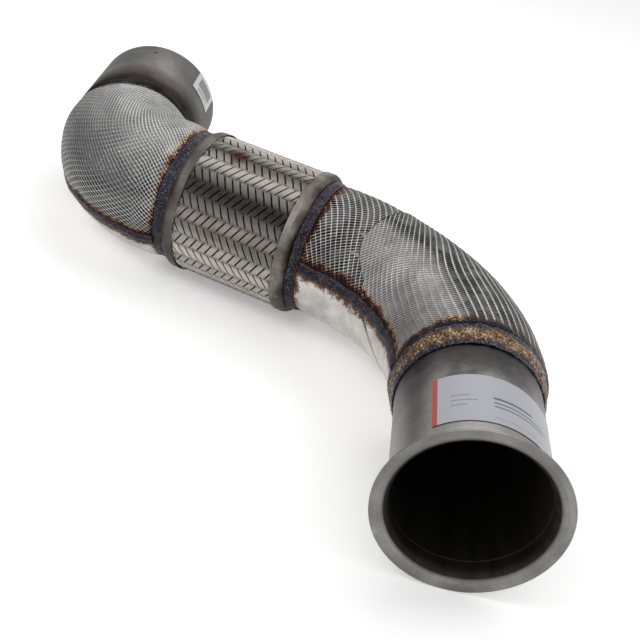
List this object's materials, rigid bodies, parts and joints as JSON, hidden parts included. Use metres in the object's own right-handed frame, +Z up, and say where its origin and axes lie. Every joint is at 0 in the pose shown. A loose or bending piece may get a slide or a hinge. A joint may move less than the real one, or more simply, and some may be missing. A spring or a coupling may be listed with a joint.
{
  "type": "exhaust front pipe",
  "caption": "Curved exhaust front pipe with a flared mouth, a braided flex section between lagged bends and an open slip collar.",
  "frame": {"origin": "middle of the bounding box's footprint, on the floor that the pipe lies on", "axes": "+Z up as the pipe lies at rest on its flared lip and both flex caps; the mouth faces -Y and the collar opens towards +Y, at -X of the mouth"},
  "size_m": [0.5548, 0.6446, 0.1673],
  "materials": {
    "tube_steel": "brushed stainless tube with a faint warm tint",
    "collar_steel": "brushed stainless, brown-black heat tint at the shoulder",
    "liner_steel": "smooth stainless hose",
    "bellows_steel": "thin corrugated stainless sheet",
    "braid_steel": "woven flat strands of stainless wire",
    "cap_steel": "pressed stainless rings",
    "fibre_mat": "matted mineral fibre",
    "embossed_foil": "bright stainless foil embossed with small dimples",
    "tinted_seam": "welded seam with blue-black heat tint",
    "blue_band": "welded band with blue and purple heat tint",
    "gold_band": "welded band with straw and brown heat tint",
    "weld_metal": "straw-coloured weld bead",
    "label_paper": "matt white sticker"
  },
  "bodies": {
    "root": {"front_pipe": "tube_steel", "rear_pipe": "tube_steel", "outlet_collar": "collar_steel", "flex_liner": "liner_steel", "flex_bellows": "bellows_steel", "flex_braid": "braid_steel", "flex_cap_front": "cap_steel", "flex_cap_rear": "cap_steel", "insulation_front": "fibre_mat", "insulation_rear": "fibre_mat", "jacket_front_upper": "embossed_foil", "jacket_front_lower": "embossed_foil", "jacket_rear_upper": "embossed_foil", "jacket_rear_lower": "embossed_foil", "jacket_front_seam_left": "tinted_seam", "jacket_front_seam_right": "tinted_seam", "jacket_rear_seam_left": "tinted_seam", "jacket_rear_seam_right": "tinted_seam", "jacket_ring_stub": "gold_band", "jacket_ring_flex_front": "blue_band", "jacket_ring_flex_rear": "blue_band", "jacket_ring_outlet": "gold_band", "weld_flex_front": "weld_metal", "weld_flex_rear": "weld_metal", "weld_outlet": "weld_metal", "label_main": "label_paper", "label_collar": "label_paper"}
  },
  "joints": []
}
